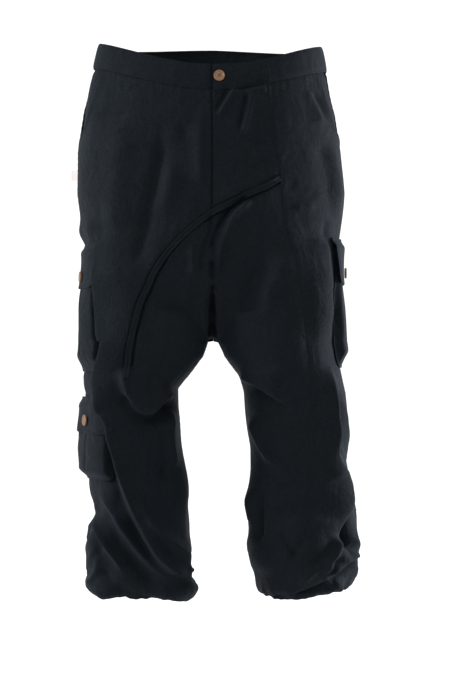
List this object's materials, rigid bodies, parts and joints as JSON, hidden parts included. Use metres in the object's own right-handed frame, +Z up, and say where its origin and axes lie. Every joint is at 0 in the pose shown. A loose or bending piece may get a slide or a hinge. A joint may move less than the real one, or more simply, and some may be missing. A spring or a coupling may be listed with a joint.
{
  "type": "harem pants",
  "caption": "Low-crotch cargo harem trousers as worn: button waistband, curved lapped front seam, flapped bellows pockets on both legs and bloused legs gathered at the ankles.",
  "frame": {"origin": "middle of the waist opening, level with the waistband at the sides, where the wearer holds the garment up", "axes": "+X to the wearer's left, -Y to the wearer's front, +Z up"},
  "size_m": [0.4955, 0.296, 0.961],
  "materials": {
    "navy_cotton": "matte twill",
    "coconut_button": "satin",
    "white_tag": "satin"
  },
  "bodies": {
    "root": {"front_right": "navy_cotton", "crotch_front_right": "navy_cotton", "front_left_fly": "navy_cotton", "front_left_side": "navy_cotton", "crotch_front_left": "navy_cotton", "inner_leg_front_right": "navy_cotton", "inner_leg_front_left": "navy_cotton", "back_right": "navy_cotton", "back_left": "navy_cotton", "back_right_leg": "navy_cotton", "back_left_leg": "navy_cotton", "hip_facing_right": "navy_cotton", "hip_facing_left": "navy_cotton", "waistband_front_left": "navy_cotton", "waistband_front_right": "navy_cotton", "waistband_back": "navy_cotton", "fly_underlap": "navy_cotton", "front_lap_seam": "navy_cotton", "cargo_pocket_upper_right": "navy_cotton", "cargo_flap_upper_right": "navy_cotton", "cargo_pocket_lower_right": "navy_cotton", "cargo_flap_lower_right": "navy_cotton", "cargo_pocket_left": "navy_cotton", "cargo_flap_left": "navy_cotton", "ankle_casing_right": "navy_cotton", "ankle_casing_left": "navy_cotton", "button_waist": "coconut_button", "button_upper_right": "coconut_button", "button_lower_right": "coconut_button", "button_left": "coconut_button", "side_tag": "white_tag"}
  },
  "joints": []
}
